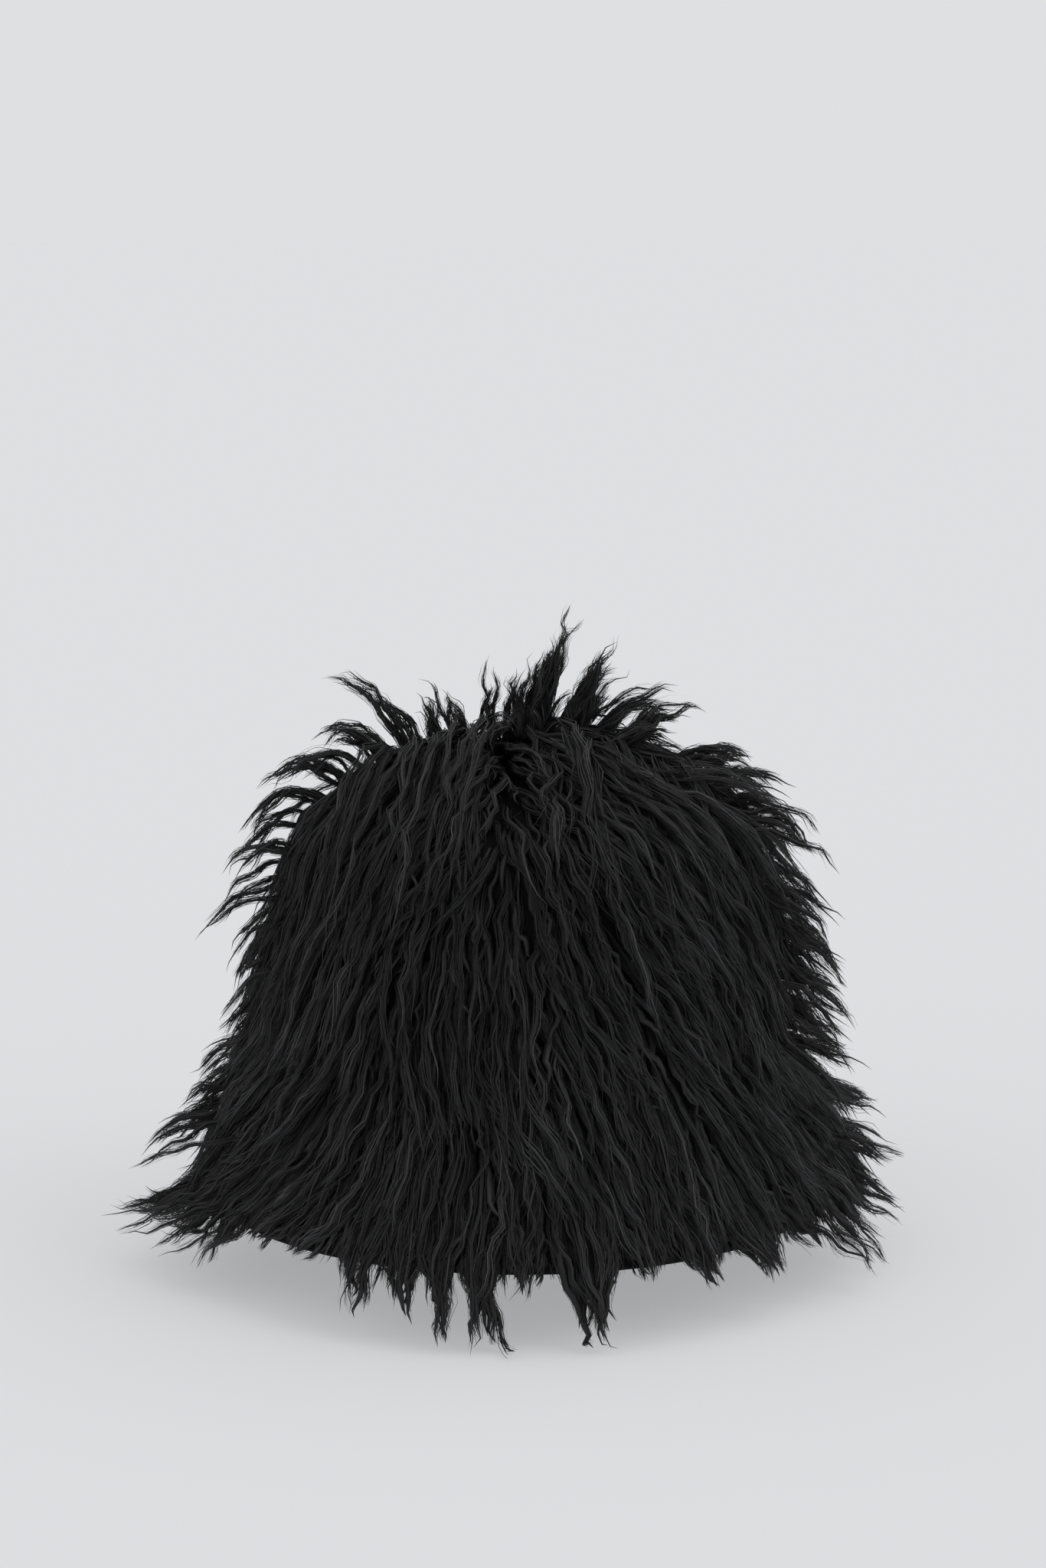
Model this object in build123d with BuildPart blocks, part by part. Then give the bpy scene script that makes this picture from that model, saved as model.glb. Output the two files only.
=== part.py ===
# A shaggy faux-fur bucket hat, standing on the fur of its brim with the head opening down.
# Millimetres. +Z is up, -Y is the wearer's front, and the origin is on the ground under the
# crown's centre. Every panel is turned round Z, and the front and back panels meet at Y = 0.

import os
from math import asin, cos, hypot, pi, radians, sin, tan

from build123d import *

# The outer face of the fur's knitted backing
crown_height = 199.0  # top of the crown above the ground
cap_radius = 150.0  # curve of the crown's top
shoulder_radius = 28.0  # curve where the top turns down into the side
side_lean = 8.0  # degrees that the crown's side leans in
seam_radius = 95.5  # crown to brim seam
seam_height = 86.0
hem_radius = 122.0  # edge of the brim
hem_height = 30.0
tip_seam_height = 176.0  # where the round top panel is sewn to the side

# Layers, from outside to inside
backing = 1.2
interlining = 0.8
lining = 0.4
seam_tape = 0.5
sweatband = 1.2
brim_stiffener = 1.0
brim_facing = 0.6

# Depths of the layers' inner faces under the backing's outer face
interlining_in = backing + interlining
lining_in = interlining_in + lining
tape_in = lining_in + seam_tape
band_in = tape_in + sweatband
stiffener_in = backing + brim_stiffener
facing_in = stiffener_in + brim_facing

# Widths of what is sewn in at the brim seam
tape_width = 10.0
band_width = 32.0

# Pile: the fur that stands off the backing and hangs over the hem to the ground
pile = 16.0
pile_reach = 28.0  # how far the brim's fur spreads past the hem
pile_inset = 12.0  # how far it comes in under the hem
pile_edge = 22.0  # height of its blunt outer edge
pile_hollow = 6.0  # how far it curves in between the seam and that edge

# Locks that stand up on the crown: place, sideways tilt in degrees, and share of the height
lock_height = 246.0
lock_root = 11.0
lock_tip = 1.5
locks = (
    (-18, 14, -6, 0.80),
    (4, 6, 3, 0.90),
    (24, 10, 14, 1.00),
    (46, 4, 20, 0.84),
    (30, -16, 10, 0.72),
)

# Labels inside the crown. The brand label is sewn down all round, the others hang from one edge.
cloth = 0.5
label_gap = 0.4  # room between a loose label and what it hangs in front of
brand_width = 46.0
brand_height = 18.0
brand_above_band = 8.0
size_width = 13.0
size_length = 15.0
care_width = 26.0
care_length = 40.0
care_top = 154.0

# Rows of stitches
thread = 0.6
stitch_length = 4.0
stitch_gap = 0.1  # room between a stitch and the face it lies on
band_stitches = 84
band_stitch_rise = 3.0  # above the brim seam
hem_stitches = 120
hem_stitch_rise = 5.0  # above the hem

# The crown's outline is a cap arc, a shoulder arc and a straight side, each tangent to the next.
lean = radians(side_lean)
cap_centre = crown_height - cap_radius
reach = cap_radius - shoulder_radius
shoulder_out = seam_radius - shoulder_radius * cos(lean)
shoulder_over = seam_height - shoulder_radius * sin(lean) - cap_centre
along = shoulder_over * cos(lean) - shoulder_out * sin(lean)
side_length = (along**2 - hypot(shoulder_out, shoulder_over) ** 2 + reach**2) ** 0.5 - along
shoulder_r = shoulder_out - side_length * sin(lean)
shoulder_z = shoulder_over + side_length * cos(lean) + cap_centre
cap_turn = asin(shoulder_r / reach)
side_turn = pi / 2 - lean

# The brim is a straight cone from the seam to the hem.
brim_drop = seam_height - hem_height
brim_flare = hem_radius - seam_radius
brim_slant = hypot(brim_drop, brim_flare)


def on_cap(turn, depth):
    """Point of the cap arc, a depth under the backing's outer face."""
    radius = cap_radius - depth
    return (radius * sin(turn), cap_centre + radius * cos(turn))


def on_shoulder(turn, depth):
    """Point of the shoulder arc, a depth under the backing's outer face."""
    radius = shoulder_radius - depth
    return (shoulder_r + radius * sin(turn), shoulder_z + radius * cos(turn))


def side_radius(height, depth):
    """Radius of the crown's straight side at a height, a depth under the backing's outer face."""
    return seam_radius - (height - seam_height) * tan(lean) - depth / cos(lean)


def brim_radius(height, depth):
    """Radius of the brim at a height, a depth under the backing's outer face.

    Every layer of the brim meets the same layer of the crown at the seam.
    """
    top = side_radius(seam_height, depth)
    edge = hem_radius - depth * brim_slant / brim_drop
    return top + (edge - top) * (seam_height - height) / brim_drop


def crown_outline(depth):
    """Half of the crown's section, from the axis out to a depth under the backing's face."""
    middle = (cap_turn + side_turn) / 2
    with BuildLine() as outline:
        ThreePointArc(on_cap(0, depth), on_cap(cap_turn / 2, depth), on_cap(cap_turn, depth))
        ThreePointArc(
            on_shoulder(cap_turn, depth), on_shoulder(middle, depth), on_shoulder(side_turn, depth)
        )
        Polyline(
            on_shoulder(side_turn, depth),
            (side_radius(seam_height, depth), seam_height),
            (0, seam_height),
            on_cap(0, depth),
        )
    return outline.edges()


def crown_section(outer, inner, low, high):
    """Section of the part of a crown layer between two heights."""
    with BuildSketch(Plane.XZ) as section:
        make_face(crown_outline(outer))
        make_face(crown_outline(inner), mode=Mode.SUBTRACT)
        with Locations((0, (low + high) / 2)):
            Rectangle(4 * hem_radius, high - low, mode=Mode.INTERSECT)
    return section.sketch


def brim_section(outer, inner):
    """Section of a brim layer."""
    with BuildSketch(Plane.XZ) as section:
        with BuildLine():
            Polyline(
                (brim_radius(seam_height, outer), seam_height),
                (brim_radius(hem_height, outer), hem_height),
                (brim_radius(hem_height, inner), hem_height),
                (brim_radius(seam_height, inner), seam_height),
                close=True,
            )
        make_face()
    return section.sketch


def brim_fur_section():
    """Section of the brim's fur: knitted backing, pile on its outer face, and pile under the hem."""
    top_radius = side_radius(seam_height, -pile)
    edge_radius = hem_radius + pile_reach
    hollow_point = ((top_radius + edge_radius) / 2 - pile_hollow, (seam_height + pile_edge) / 2)
    with BuildSketch(Plane.XZ) as section:
        with BuildLine():
            ThreePointArc((top_radius, seam_height), hollow_point, (edge_radius, pile_edge))
            Polyline(
                (edge_radius, pile_edge),
                (edge_radius, 0),
                (hem_radius - pile_inset, 0),
                (brim_radius(hem_height, facing_in), hem_height),
                (brim_radius(hem_height, backing), hem_height),
                (brim_radius(seam_height, backing), seam_height),
                (top_radius, seam_height),
            )
        make_face()
    return section.sketch


def write(piece, name):
    """Labels a piece and writes it to its own file."""
    piece.part.label = name
    export_step(piece.part, f"parts/{name}.step")


os.makedirs("parts", exist_ok=True)
halves = {"front": Keep.TOP, "back": Keep.BOTTOM}

# The crown's side: fur, interlining and lining, in a front and a back panel
side_layers = {
    "crown_{}_fur": (-pile, backing),
    "crown_{}_interlining": (backing, interlining_in),
    "lining_{}": (interlining_in, lining_in),
}
for half, keep in halves.items():
    for pattern, (outer, inner) in side_layers.items():
        with BuildPart() as side_panel:
            revolve(crown_section(outer, inner, seam_height, tip_seam_height), axis=Axis.Z)
            split(bisect_by=Plane.XZ, keep=keep)
        write(side_panel, pattern.format(half))

# The round panels of the crown's top
tip_layers = {
    "crown_tip_interlining": (backing, interlining_in),
    "lining_tip": (interlining_in, lining_in),
}
for name, (outer, inner) in tip_layers.items():
    with BuildPart() as tip_panel:
        revolve(crown_section(outer, inner, tip_seam_height, crown_height), axis=Axis.Z)
    write(tip_panel, name)

# The fur of the crown's top, with the locks that stand up on it
with BuildPart() as crown_tip_fur:
    revolve(crown_section(-pile, backing, tip_seam_height, crown_height + pile), axis=Axis.Z)
    root_height = crown_height + pile / 2
    for x, y, tilt, share in locks:
        rise = (lock_height - root_height) * share
        with BuildSketch(Plane.XY.offset(root_height)):
            with Locations((x, y)):
                Circle(lock_root)
        with BuildSketch(Plane.XY.offset(root_height + rise)):
            with Locations((x + rise * tan(radians(tilt)), y)):
                Circle(lock_tip)
        loft()
write(crown_tip_fur, "crown_tip_fur")

# The brim: fur, stiffener and the facing underneath, in a front and a back panel
for half, keep in halves.items():
    with BuildPart() as brim_panel:
        revolve(brim_fur_section(), axis=Axis.Z)
        split(bisect_by=Plane.XZ, keep=keep)
    write(brim_panel, f"brim_{half}_fur")
    with BuildPart() as stiffener_panel:
        revolve(brim_section(backing, stiffener_in), axis=Axis.Z)
        split(bisect_by=Plane.XZ, keep=keep)
    write(stiffener_panel, f"brim_{half}_stiffener")
    with BuildPart() as facing_panel:
        revolve(brim_section(stiffener_in, facing_in), axis=Axis.Z)
        split(bisect_by=Plane.XZ, keep=keep)
    write(facing_panel, f"brim_{half}_facing")

# The tape over the brim seam, and the sweatband sewn over it by its lower edge
with BuildPart() as brim_seam_tape:
    revolve(crown_section(lining_in, tape_in, seam_height, seam_height + tape_width), axis=Axis.Z)
write(brim_seam_tape, "brim_seam_tape")

with BuildPart() as sweatband_ring:
    revolve(crown_section(tape_in, band_in, seam_height, seam_height + band_width), axis=Axis.Z)
write(sweatband_ring, "sweatband")

# The brand label lies on the lining at the centre back, above the sweatband.
brand_low = seam_height + band_width + brand_above_band
with BuildPart() as brand_label:
    revolve(
        crown_section(lining_in, lining_in + cloth, brand_low, brand_low + brand_height),
        axis=Axis.Z,
    )
    with Locations((0, seam_radius / 2, seam_height)):
        Box(brand_width, seam_radius, 2 * crown_height, mode=Mode.INTERSECT)
write(brand_label, "brand_label")

# The size label hangs from the brand label's lower edge, in front of the sweatband.
size_face = side_radius(brand_low, lining_in + cloth)
size_centre = (size_face**2 - (size_width / 2) ** 2) ** 0.5 - label_gap - cloth / 2
with BuildPart() as size_label:
    with Locations((0, size_centre, brand_low)):
        Box(size_width, cloth, size_length, align=(Align.CENTER, Align.CENTER, Align.MAX))
write(size_label, "size_label")

# The care label hangs from the lining's side seam, on the wearer's right. It is cloth folded double.
care_face = side_radius(care_top, lining_in)
care_centre = (care_face**2 - (care_width / 2) ** 2) ** 0.5 - label_gap - cloth
with BuildPart() as care_label:
    with Locations((-care_centre, 0, care_top)):
        Box(2 * cloth, care_width, care_length, align=(Align.CENTER, Align.CENTER, Align.MAX))
write(care_label, "care_label")

# The row of stitches that holds the sweatband, and the row that holds the facing to the hem
band_stitch_height = seam_height + band_stitch_rise
band_stitch_radius = side_radius(band_stitch_height, band_in) - stitch_gap - thread / 2
with BuildPart() as sweatband_stitching:
    with Locations((0, 0, band_stitch_height)):
        with PolarLocations(band_stitch_radius, band_stitches):
            Cylinder(thread / 2, stitch_length, rotation=(90, 0, 0))
write(sweatband_stitching, "sweatband_stitching")

hem_stitch_height = hem_height + hem_stitch_rise
hem_stitch_radius = brim_radius(hem_stitch_height, facing_in + stitch_gap + thread / 2)
with BuildPart() as hem_stitching:
    with Locations((0, 0, hem_stitch_height)):
        with PolarLocations(hem_stitch_radius, hem_stitches):
            Cylinder(thread / 2, stitch_length, rotation=(90, 0, 0))
write(hem_stitching, "hem_stitching")
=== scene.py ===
# Black shaggy faux-fur bucket hat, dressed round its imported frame. Metres, +Z up, -Y the front.
import bpy
import math
import numpy as np
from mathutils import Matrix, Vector


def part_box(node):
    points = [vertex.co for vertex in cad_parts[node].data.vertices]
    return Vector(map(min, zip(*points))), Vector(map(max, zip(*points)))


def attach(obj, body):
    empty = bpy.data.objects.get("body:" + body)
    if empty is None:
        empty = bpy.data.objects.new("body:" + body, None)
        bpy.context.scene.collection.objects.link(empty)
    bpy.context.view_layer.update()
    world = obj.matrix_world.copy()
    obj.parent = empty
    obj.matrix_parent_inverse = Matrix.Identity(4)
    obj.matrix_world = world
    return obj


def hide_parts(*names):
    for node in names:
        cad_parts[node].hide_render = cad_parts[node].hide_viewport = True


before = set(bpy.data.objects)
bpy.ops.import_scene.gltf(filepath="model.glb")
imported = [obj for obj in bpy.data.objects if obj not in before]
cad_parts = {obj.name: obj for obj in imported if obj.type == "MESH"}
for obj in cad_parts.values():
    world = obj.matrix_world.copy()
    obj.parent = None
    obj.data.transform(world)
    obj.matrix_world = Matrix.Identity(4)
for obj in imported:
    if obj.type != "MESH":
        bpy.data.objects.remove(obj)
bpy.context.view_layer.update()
print("frame loaded")


def toLinear(hexColour):  # "#1c1c1e" to linear RGBA
    channels = [int(hexColour[i:i + 2], 16) / 255 for i in (1, 3, 5)]
    return [c / 12.92 if c <= 0.04045 else ((c + 0.055) / 1.055) ** 2.4 for c in channels] + [1.0]


def findSocket(sockets, key):  # by place, identifier or name
    if isinstance(key, int):
        return sockets[key]
    named = [s for s in sockets if s.identifier == key]
    return (named or [s for s in sockets if s.name == key and s.enabled])[0]


def addNode(tree, kind, links=None, **settings):
    node = tree.nodes.new(kind)
    for name, value in settings.items():
        setattr(node, name, value)
    for key, value in (links or {}).items():
        socket = findSocket(node.inputs, key)
        if isinstance(value, bpy.types.NodeSocket):
            tree.links.new(value, socket)
        else:
            socket.default_value = value
    return node


def toolsFor(tree):  # short hands for a tree's nodes, its number sums and its vector sums
    def add(kind, links=None, **settings):
        return addNode(tree, kind, links, **settings)

    def calc(operation, *values):
        return add("ShaderNodeMath", dict(enumerate(values)), operation=operation).outputs[0]

    def vector(operation, first, second=None):
        links = {0: first}
        if second is not None:
            links["Scale" if operation == "SCALE" else 1] = second
        return add("ShaderNodeVectorMath", links, operation=operation).outputs[0]

    return add, calc, vector


def newMaterial(name, settings):
    material = bpy.data.materials.new(name)
    material.use_nodes = True
    shader = material.node_tree.nodes["Principled BSDF"]
    for socket, value in settings.items():
        shader.inputs[socket].default_value = value
    return material


def clothe(material, add, colour, value, height, strength, depth):  # its tinted colour and its relief
    tree = material.node_tree
    bump = add("ShaderNodeBump", {"Height": height, "Strength": strength, "Distance": depth})
    tinted = add("ShaderNodeHueSaturation", {"Color": colour, "Value": value})
    shader = tree.nodes["Principled BSDF"]
    tree.links.new(bump.outputs[0], shader.inputs["Normal"])
    tree.links.new(tinted.outputs[0], shader.inputs["Base Color"])
    return material


def mapRange(add, value, low, high, fromMin=0.0, fromMax=1.0):  # a value's range stretched to low..high
    return add("ShaderNodeMapRange", {"Value": value, "From Min": fromMin, "From Max": fromMax,
                                      "To Min": low, "To Max": high}).outputs[0]


def smooth(x, low, high):  # 0 below low, 1 above high
    t = np.clip((x - low) / (high - low), 0, 1)
    return t * t * (3 - 2 * t)


def unit(v):
    return v / np.maximum(np.linalg.norm(v, axis=-1, keepdims=True), 1e-9)


def runOf(points):  # how far along a line each of its points lies
    return np.concatenate([[0], np.cumsum(np.linalg.norm(np.diff(points, axis=0), axis=1))])


def wrap(angle):  # radians, brought between -pi and pi
    return (angle + math.pi) % (2 * math.pi) - math.pi


def placeMesh(name, mesh):
    obj = bpy.data.objects.new(name, mesh)
    bpy.context.scene.collection.objects.link(obj)
    return obj


# ---- the stage

studio = {
    "backdrop": "#dfe0e2",
    "paper": 0.36,  # share of the light that the floor gives back
    "glow": 0.48,  # share of its brightness that comes through it from below
    "floorRadius": 14.0,
    "lens": 85,
    "elevation": 10,  # degrees that the camera looks down
    "distance": 1.4507,
    "aimHeight": 0.1898,
    "aimSide": 0.0009,
    # soft lamps: where they stand, how wide they look in degrees, and their share of the lamps' light
    "lamps": {
        "overhead_softbox": ((0.7, 0.4, 2.0), 60, 0.50),
        "right_softbox": ((1.8, -0.9, 1.5), 40, 0.28),
        "left_softbox": ((-1.5, -1.5, 1.5), 50, 0.22),
    },
}


def placeObject(name, data, place, turn):
    obj = placeMesh(name, data)
    obj.location = place
    obj.rotation_euler = turn
    return obj


def buildStage():
    backdrop = toLinear(studio["backdrop"])
    tint = max(backdrop[:3])
    material = newMaterial("matt_paper_backdrop", {  # even and dull, so only soft shadows show
        "Base Color": [c / tint * studio["paper"] for c in backdrop[:3]] + [1.0],
        "Emission Color": backdrop,
        "Emission Strength": studio["glow"],
        "Roughness": 1.0,
        "Specular IOR Level": 0.0,
    })
    count = 96
    turns = np.linspace(0, 2 * math.pi, count, endpoint=False)
    ring = studio["floorRadius"] * np.stack([np.cos(turns), np.sin(turns), np.zeros(count)], -1)
    faces = [(0, 1 + k, 1 + (k + 1) % count) for k in range(count)]
    mesh = bpy.data.meshes.new("paper_floor")
    mesh.from_pydata([(0, 0, 0)] + ring.tolist(), [], faces)
    mesh.materials.append(material)
    placeMesh("paper_floor", mesh)

    # the air round the object shines as bright as the paper, so that no horizon shows
    world = bpy.data.worlds.new("studio_fill")
    world.use_nodes = True
    world.node_tree.nodes["Background"].inputs["Color"].default_value = backdrop
    world.node_tree.nodes["Background"].inputs["Strength"].default_value = 1.0
    bpy.context.scene.world = world

    missing = tint * (1 - studio["glow"]) / studio["paper"] - tint
    for name, (place, width, share) in studio["lamps"].items():
        light = bpy.data.lights.new(name, "SUN")
        light.energy = math.pi * missing * share * Vector(place).length / place[2]
        light.angle = math.radians(width)
        placeObject(name, light, place, (-Vector(place)).to_track_quat("-Z", "Y").to_euler())

    camera = bpy.data.cameras.new("camera")
    camera.lens = studio["lens"]
    camera.sensor_width = 36
    camera.clip_end = 50
    tilt = math.radians(studio["elevation"])
    away = studio["distance"]
    place = (studio["aimSide"], -away * math.cos(tilt), studio["aimHeight"] + away * math.sin(tilt))
    bpy.context.scene.camera = placeObject("camera", camera, place, (math.pi / 2 - tilt, 0, 0))
    bpy.context.scene.view_settings.view_transform = "Standard"
    print("stage, lights and camera set")


buildStage()

# ---- the hat's outline, worked out from the frame

outline = {
    "capRadius": 0.150,  # outer face of the knitted backing
    "shoulderRadius": 0.028,
    "sideLean": 8,
    "backing": 0.0012,
    "step": 0.0005,
}


def hatOutline():
    step = outline["step"]

    def arc(middle, height, radius, start, end):
        return [(middle + radius * math.sin(turn), height + radius * math.cos(turn))
                for turn in np.arange(start, end, step / radius)]

    def line(start, end, run):
        shares = np.linspace(0, 1, int(run / step))[1:, None]
        return start + (end - start) * shares

    # heights and radii of the backing's outer face
    backing, lean = outline["backing"], math.radians(outline["sideLean"])
    sideLow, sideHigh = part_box("crown_front_interlining")
    brimLow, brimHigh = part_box("brim_front_stiffener")
    seam = np.array([sideHigh.x + backing / math.cos(lean), sideLow.z])
    flare = math.atan2(brimHigh.x + backing - seam[0], seam[1] - brimLow.z)
    hem = np.array([brimHigh.x + backing / math.cos(flare), brimLow.z])
    capRadius, shoulderRadius = outline["capRadius"], outline["shoulderRadius"]
    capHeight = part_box("crown_tip_interlining")[1].z + backing - capRadius

    # the shoulder's centre, so that its arc meets both the cap and the leaning side
    reach = capRadius - shoulderRadius
    out = seam[0] - shoulderRadius * math.cos(lean)
    over = seam[1] - shoulderRadius * math.sin(lean) - capHeight
    along = over * math.cos(lean) - out * math.sin(lean)
    rise = math.sqrt(along ** 2 - out ** 2 - over ** 2 + reach ** 2) - along
    middle, height = out - rise * math.sin(lean), over + rise * math.cos(lean) + capHeight
    capTurn = math.asin(middle / reach)
    crown = np.array(arc(0, capHeight, capRadius, 0, capTurn)
                     + arc(middle, height, shoulderRadius, capTurn, math.pi / 2 - lean))
    crown = np.concatenate([crown, line(crown[-1], seam, crown[-1, 1] - seam[1])])
    points = np.concatenate([crown, line(seam, hem, math.hypot(hem[0] - seam[0], seam[1] - hem[1]))])
    s = runOf(points)
    course = unit(np.gradient(points, s, axis=0))
    for _ in range(12):  # the real cloth has no crease at the brim seam
        course[1:-1] = unit(course[:-2] + 2 * course[1:-1] + course[2:])
    return {
        "s": s,
        "r": points[:, 0],
        "z": points[:, 1],
        "nr": -course[:, 1],
        "nz": course[:, 0],
        "tipSeam": float(np.interp(-sideHigh.z, -points[:, 1], s)),
        "brimSeam": float(s[len(crown) - 1]),
        "hem": float(s[-1]),
        "flare": flare,
    }


shape = hatOutline()
print("outline: %.0f mm from the top to the brim seam, %.0f mm to the hem"
      % (shape["brimSeam"] * 1000, shape["hem"] * 1000))


def onHat(s, azimuth, lift):  # a point over the backing, and the outward direction there
    r, z, nr, nz = [np.interp(s, shape["s"], shape[name]) for name in ("r", "z", "nr", "nz")]
    radial = np.stack([np.sin(azimuth), -np.cos(azimuth), np.zeros_like(azimuth)], -1)
    point = radial * (r + nr * lift)[..., None]
    point[..., 2] = z + nz * lift
    outward = radial * nr[..., None]
    outward[..., 2] = nz
    return point, outward


# ---- the fur's guides: one line down the middle of each lock

furCoat = {
    "seed": 7,
    "points": 18,  # along each finished lock
    "step": 0.0040,
    "steps": 27,
    "parting": (-0.018, 0.030),  # the whorl on the crown that the fur grows away from
    "splitAzimuth": -9,  # degrees: in front the locks fall to either side of this line
    "splitLean": 24,
    "tuftSpacing": 0.022,
    "lowest": 0.0018,
    # under the forelocks the coat is short and close, with painted shade that makes it dark: where, and how
    # far it spreads
    "hollow": ((-0.010, -0.075, 0.182), 0.030),
    # metres down from the top where the coat changes
    "capPlump": (0.022, 0.058),  # thickest above, even below
    "shoulder": (0.040, 0.066, 0.100, 0.135),  # pressed close between the middle two
    "fanned": (0.045, 0.110),  # grows away from the whorl above, hangs down below
    "splitFrom": (0.008, 0.035, 0.085, 0.125),  # the split is full between the middle two
    "edge": 0.034,  # above the hem, where locks start to gather into its tufts
    "gatherIn": 0.042,  # the run that gathers a lock to the middle of its tuft
}

lockKinds = {
    "guard": {
        "spacing": 0.0077,
        "length": (0.062, 0.100),
        "width": (0.0028, 0.0054),
        "depth": 0.0150,
        "layers": (0.38, 1.14),
        "crimpLength": (0.015, 0.032),
        "crimpSize": (0.0006, 0.0018),
        "hairs": 19,
        "core": 0.33,
        "tone": 1.10,
        "tall": 1.0,  # how much it takes part in what the long locks do
        "frizz": 0.0019,
    },
    "underfur": {
        "spacing": 0.0094,
        "length": (0.024, 0.042),
        "width": (0.0034, 0.0056),
        "depth": 0.0095,
        "layers": (0.55, 1.0),
        "crimpLength": (0.011, 0.018),
        "crimpSize": (0.0006, 0.0014),
        "hairs": 5,
        "core": 0.70,
        # painted shade: the underfur is drawn darker, as it lies in the shade of the guard locks
        "tone": 0.50,
        "tall": 0.25,
        "frizz": 0.0012,
    },
}

# how the coat lies round the hat, at azimuths from -180 to 180 degrees, 0 being the front;
# leans are degrees off straight down, lifts are millimetres off the coat at a lock's tip
around = {
    "azimuth": (-180, -135, -105, -85, -65, -48, -36, -25, -10, 0, 15, 30, 50, 70, 90, 110, 135, 180),
    "lean": (-8, -6, -5, -4, -4, -3, -2, 0, 2, 5, 11, 16, 17, 14, 9, 3, -4, -8),
    "brimLean": (-10, -10, -12, -20, -46, -52, -34, -8, 2, 3, 8, 12, 18, 22, 12, 4, -6, -10),
    "hemFlare": (45, 55, 66, 72, 70, 50, 25, 10, 6, 6, 6, 8, 16, 36, 55, 60, 52, 45),
    "overhang": (28, 30, 34, 34, 22, 6, 4, 16, 24, 20, 22, 14, 15, 20, 28, 32, 30, 28),
    "crownLift": (12, 14, 15, 14, 9, 5, 3, 2, 2, 2, 3, 5, 9, 20, 25, 20, 14, 12),
    "brimLift": (10, 11, 10, 9, 5, 3, 1, 1, 1, 1, 1, 2, 5, 11, 18, 20, 16, 10),
}

# the front's tufts below the hem: azimuth, half width in degrees, length in millimetres, swing
frontTufts = (
    (-40, 7, 9, -40),
    (-28, 5.5, 27, 12),
    (-20.5, 4.5, 27, 14),
    (-13, 4.5, 32, 6),
    (-6.5, 4.5, 46, 2),
    (1, 4, 13, -6),
    (11, 7.5, 41, 6),
    (22, 5, 10, 6),
    (32, 6, 20, 14),
    (45, 7.5, 22, 16),
    (60, 8, 20, 20),
)


def roundHat(name, azimuth):
    degrees = (np.degrees(azimuth) + 180) % 360 - 180
    return np.interp(degrees, around["azimuth"], around[name])


def scatterRoots(rng, spacing, low, high):
    s, azimuth = [], []
    for ring in np.arange(low + spacing / 2, high, spacing * 0.87):
        radius = np.interp(ring, shape["s"], shape["r"])
        count = max(1, int(round(2 * math.pi * radius / spacing)))
        turns = (np.arange(count) + rng.uniform(-0.35, 0.35, count) + rng.uniform()) / count
        azimuth.append(turns * 2 * math.pi - math.pi)
        s.append(ring + rng.uniform(-0.4, 0.4, count) * spacing)
    return np.clip(np.concatenate(s), low, high - 0.001), np.concatenate(azimuth)


def hangingTufts(rng):
    # pointed tufts all round the hem, the front's as listed
    tufts = [tuple(tuft) for tuft in frontTufts]
    azimuth = 70.0
    while azimuth < 360 - 46:
        half = rng.uniform(4.5, 8.5)
        turned = (azimuth + half + 180) % 360 - 180
        length = roundHat("overhang", np.radians(turned)) * rng.uniform(0.65, 1.15)
        tufts.append((turned, half, length, rng.normal(0, 7)))
        azimuth += 2 * half
    columns = np.array(tufts).T
    return {"azimuth": np.radians(columns[0]), "half": np.radians(columns[1]),
            "length": columns[2] / 1000, "swing": np.radians(columns[3])}


def flowLean(s, azimuth):  # slow swirls over the whole coat, in radians
    return 0.14 * np.sin(3 * azimuth + 40 * s + 1.3) + 0.09 * np.sin(7 * azimuth - 90 * s + 0.4)


def coatLift(s, t, layer, rise, tipLift, onBrim, squeeze):
    # how far over the backing a lock lies, a share t of the way to its tip
    thin = 1 - 0.5 * smooth(s, shape["brimSeam"], shape["hem"] + 0.02)
    extra = (1 - onBrim) * tipLift[0] + onBrim * tipLift[1]
    low, high, lowEnd, highEnd = furCoat["shoulder"]
    full = 1 + 0.45 * (1 - smooth(s, *furCoat["capPlump"]))
    full = full - squeeze * smooth(s, low, high) * (1 - smooth(s, lowEnd, highEnd))
    return layer * full * t ** rise * thin + extra * smooth(t, 0.35, 1.0) ** 1.3


def lockCourse(s, azimuth, onCloth, radial, onBrim, wander, tall):
    # how far a lock runs down and across at its next step, and how it leans
    lean = np.radians(roundHat("lean", azimuth)) * (1 - onBrim)
    lean = lean + np.radians(roundHat("brimLean", azimuth)) * onBrim
    lean = lean + flowLean(s, azimuth) * (1 - 0.7 * onBrim) + wander
    away = unit(onCloth[:, :2] - np.array(furCoat["parting"]))
    side = np.stack([np.cos(azimuth), np.sin(azimuth)], -1)
    fan = np.arctan2((away * side).sum(1), (away * radial[:, :2]).sum(1)) + wander
    turned = wrap(azimuth)
    low, high, lowEnd, highEnd = furCoat["splitFrom"]
    split = np.tanh((turned - math.radians(furCoat["splitAzimuth"])) / 0.20)
    split = split * np.exp(-(turned / 0.9) ** 2) * math.radians(furCoat["splitLean"]) * tall
    split = split * smooth(s, low, high) * (1 - smooth(s, lowEnd, highEnd))
    fan, lean = fan + split, lean + split
    share = smooth(s, *furCoat["fanned"])
    down = (1 - share) * np.cos(fan) + share * np.cos(lean)
    across = (1 - share) * np.sin(fan) + share * np.sin(lean)
    norm = np.maximum(np.hypot(down, across), 1e-6)
    return down / norm, across / norm, lean


def nearestTuft(hem, azimuth):
    # the hem tuft a lock falls into, the turn to its middle, and that as a share of its half width
    gap = wrap(hem["azimuth"][None, :] - wrap(azimuth)[:, None])
    nearest = np.argmin(np.abs(gap) / hem["half"][None, :], 1)
    toMiddle = gap[np.arange(len(azimuth)), nearest]
    return nearest, toMiddle, np.abs(toMiddle) / hem["half"][nearest]


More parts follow.
